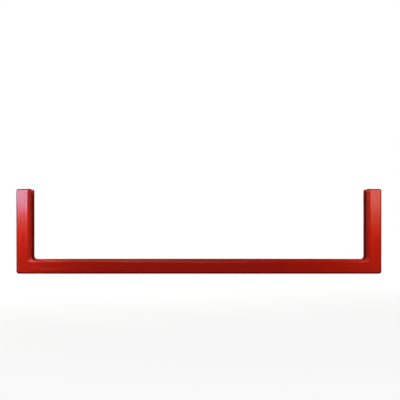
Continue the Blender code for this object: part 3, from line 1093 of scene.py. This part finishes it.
plug = {
    "flange": 0.0137,
    "face": 0.0503,
    "seat": 0.0483,
    "edge": 0.0007,
    "barrel": 0.0102,
    "ridge": 0.0107,
    "end": 0.0403,
    "wall": 0.0015,
    "steps": 72,
    "dish": [
        (0.0006, 0.0007),
        (0.0012, 0.00065),
        (0.0015, 0.00035),
        (0.0045, 0.00035),
        (0.0085, 0.00030),
        (0.0097, 0.00022),
        (0.0101, 0.00005),
        (0.0105, 0),
    ],
}


# A flanged cup with a shallow dished face, a raised ring and the small dimple of its gate
def holePlug():
    face, seat, edge, flange = plug["face"], plug["seat"], plug["edge"], plug["flange"]
    barrel, ridge, end = plug["barrel"], plug["ridge"], plug["end"]
    inside = barrel - plug["wall"]
    middle = (seat + 2 * end) / 3
    profile = [(radius, face - depth) for radius, depth in plug["dish"]]
    profile.append((flange - edge, face))
    for step in range(1, 5):
        bend = math.pi / 2 * step / 4
        profile.append((flange - edge + edge * math.sin(bend), face - edge + edge * math.cos(bend)))
    profile += [
        (flange, seat + 0.0002),
        (flange - 0.0002, seat),
        (barrel, seat),
        (barrel, middle + 0.0012),
        (ridge - 0.0001, middle + 0.0003),
        (ridge, middle),
        (ridge - 0.0001, middle - 0.0002),
        (barrel, middle - 0.0012),
        (barrel, end + 0.0006),
        (barrel - 0.0003, end),
        (inside, end),
        (inside, seat),
    ]
    return turnedSolid(profile, plug["steps"])


# Flush countersunk head with a dimple, and the upset tail behind the angle
def rivetSolid():
    head, seat, tail = rivet["head"], rivet["tailSeat"], rivet["tail"]
    rise, edge = rivet["tailHeight"], rivet["edge"]
    profile = rivet["dimple"] + [
        (head - edge, 0.0000),
        (head, edge),
        (rivet["shank"], rivet["headDepth"]),
        (rivet["shank"], seat),
        (tail - edge, seat),
        (tail, seat + edge),
        (tail, seat + rise * 0.55),
        (tail * 0.86, seat + rise * 0.85),
        (tail * 0.55, seat + rise),
    ]
    return turnedSolid(profile, rivet["steps"])


# Each set: name, solids, kind of node, finish, slot and seed
fasteners = [
    ("boltSet", [boltHead(), boltShank()], "bolt", boltZinc, "bolt_steel", 3),
    ("flatWasherSet", [flatWasher()], "flat_washer", washerZinc, "washer_steel", 5),
    ("lockWasherSet", [lockWasher()], "lock_washer", washerZinc, "washer_steel", 8),
    ("plugSet", [holePlug()], "hole_plug", plugBlack, "plug_plastic", 11),
]
for name, solids, kind, finish, slotName, seed in fasteners:
    nodes = [f"{member}_{kind}_{number}" for member, number in boltSites]
    seatFasteners(name, solids, boltSites.values(), nodes, finish, seed)
seatFasteners("rivetSet", [rivetSolid()], rivetSites.values(), rivetSites, rivetSteel, 13)

# Studio: a pale floor, white surroundings and soft panels in front, above and behind

studio = {
    "floorGrey": 0.18,
    "floorGlow": 0.84,
    "floorSize": 60.0,
    "glowNear": 1.3,
    "glowFar": 4.0,
    "floorEnd": 9.0,
    "ambient": 0.12,
    "roomDim": 0.03,
    "ceilingGlow": 0.7,
    "backCone": (0.995, 0.9995),
    "ceilingCone": (0.88, 0.96),
}
view = {"sensor": 36.0, "lens": 53.45, "shift": 0.077, "place": (0.0058, -3.177, 0.227)}


def seenDirectly(tree):
    path = addNode(tree, "ShaderNodeLightPath").outputs
    mirrored = calc("MAXIMUM", path["Is Glossy Ray"], path["Is Transmission Ray"])
    return path["Is Camera Ray"], mirrored


def makeFloor():
    half = studio["floorSize"] / 2
    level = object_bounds()[0].z
    corners = [(-half, -half, level), (half, -half, level), (half, half, level), (-half, half, level)]
    mesh = bpy.data.meshes.new("floor")
    mesh.from_pydata(corners, [], [(0, 1, 2, 3)])
    material, tree, shader, place = startMaterial("floorPale")
    shader.inputs["Roughness"].default_value = 1.0
    shader.inputs["Specular IOR Level"].default_value = 0.0
    camera, mirrored = seenDirectly(tree)
    distance = addNode(tree, "ShaderNodeVectorMath", {0: place}, operation="LENGTH").outputs["Value"]
    near, end = studio["glowFar"], studio["floorEnd"]
    glow = rangeValue(distance, studio["glowNear"], near, studio["floorGlow"], 1.0, smooth=True)
    heading = addNode(tree, "ShaderNodeVectorMath", {0: place}, operation="NORMALIZE")
    toBack = addNode(tree, "ShaderNodeSeparateXYZ", {0: heading}).outputs[1]
    toBack = calc("MULTIPLY", toBack, rangeValue(distance, near, end, 0, 1, smooth=True))
    behind = rangeValue(toBack, *studio["backCone"], studio["roomDim"], 1.0)
    shown = calc("MAXIMUM", camera, calc("MULTIPLY", mirrored, behind))
    grey, dim = [(studio[tone],) * 3 + (1,) for tone in ("floorGrey", "roomDim")]
    feed(shader.inputs["Base Color"], blend(mirrored, grey, dim, "RGBA"))
    shader.inputs["Emission Color"].default_value = (1, 1, 1, 1)
    feed(shader.inputs["Emission Strength"], calc("MULTIPLY", glow, shown))
    mesh.materials.append(material)
    addObject("floor", mesh)


def makeWorld():
    world = bpy.data.worlds.new("studio")
    scene.world = world
    world.use_nodes = True
    tree = world.node_tree
    background = tree.nodes["Background"]
    camera, mirrored = seenDirectly(tree)
    direction = addNode(tree, "ShaderNodeTexCoord").outputs["Generated"]
    facing = addNode(tree, "ShaderNodeSeparateXYZ", {0: direction}).outputs
    backdrop = rangeValue(facing[1], *studio["backCone"], studio["roomDim"], 1.0)
    ceiling = rangeValue(facing[2], *studio["ceilingCone"], 0, studio["ceilingGlow"], smooth=True)
    level = blend(mirrored, studio["ambient"], calc("MAXIMUM", backdrop, ceiling))
    feed(background.inputs["Strength"], blend(camera, level, 1.0))
    background.inputs["Color"].default_value = (1, 1, 1, 1)


daylight, amber, white = (1.0, 0.98, 0.95), (1.0, 0.75, 0.25), (1.0, 1.0, 1.0)

# Each lamp: centre, what it faces, width and height, brightness of its face, and colour
lamps = {
    "leftPanel": ((-1.31, -0.70, 0.59), (-1.31, 0, 0.59), (0.44, 0.46), 9.6, (0.66, 1.0, 1.45)),
    "leftGlow": ((-1.31, -0.70, 0.29), (-1.31, 0, 0.29), (0.44, 0.10), 1.4, amber),
    "rightPanel": ((1.22, -0.70, 0.58), (1.22, 0, 0.58), (0.40, 0.46), 2.3, (1.0, 1.05, 0.82)),
    "rightGlow": ((1.22, -0.70, 0.30), (1.22, 0, 0.30), (0.40, 0.10), 1.0, amber),
    "leftFront": ((-1.50, -1.45, 1.25), (-0.95, 0, 0.18), (0.60, 0.50), 12.5, daylight),
    "leftStrip": ((-1.20, -0.80, 0.90), (-0.965, 0, 0.20), (0.10, 0.30), 2.8, daylight),
    "rightNear": ((1.30, -0.72, 0.62), (0.95, 0, 0.22), (0.40, 0.40), 11.0, daylight),
    "rightStrip": ((1.15, -0.80, 0.90), (0.97, 0, 0.28), (0.10, 0.20), 1.5, daylight),
    "frontPanel": ((-0.15, -1.25, 0.88), (-0.1, 0, 0.05), (1.0, 0.5), 2.8, daylight),
    "leftAbove": ((-0.85, -0.78, 1.55), (-0.85, 0, 0.07), (1.0, 0.5), 0.6, (1.0, 0.88, 0.32)),
    "backLeft": ((-1.9, 1.5, 1.3), (-0.6, 0, 0.15), (1.2, 1.0), 12.0, white),
    "backRight": ((1.9, 1.5, 1.3), (0.6, 0, 0.15), (1.2, 1.0), 12.0, white),
}
unreflected = ("rightNear", "leftFront", "leftStrip", "rightStrip")
narrowBeams = {"leftStrip": 32, "rightStrip": 36}


def makeLamps():
    for name, (centre, aim, size, brightness, color) in lamps.items():
        light = bpy.data.lights.new(name, "AREA")
        light.shape = "RECTANGLE"
        light.size, light.size_y = size
        strongest = max(color)
        light.color = [part / strongest for part in color]
        light.energy = brightness * strongest * math.pi * size[0] * size[1]
        lamp = bpy.data.objects.new(name, light)
        scene.collection.objects.link(lamp)
        lamp.location = centre
        lamp.rotation_euler = (Vector(aim) - Vector(centre)).to_track_quat("-Z", "Y").to_euler()
        light.spread = math.radians(narrowBeams.get(name, 180))
        lamp.visible_camera = False
        lamp.visible_glossy = name not in unreflected


def makeCamera():
    camera = bpy.data.cameras.new("camera")
    camera.sensor_width = view["sensor"]
    camera.lens = view["lens"]
    camera.shift_y = view["shift"]
    holder = bpy.data.objects.new("camera", camera)
    scene.collection.objects.link(holder)
    holder.location = view["place"]
    holder.rotation_euler = (math.pi / 2, 0, 0)
    scene.camera = holder


makeFloor()
makeWorld()
makeLamps()
makeCamera()
scene.view_settings.view_transform = "Standard"
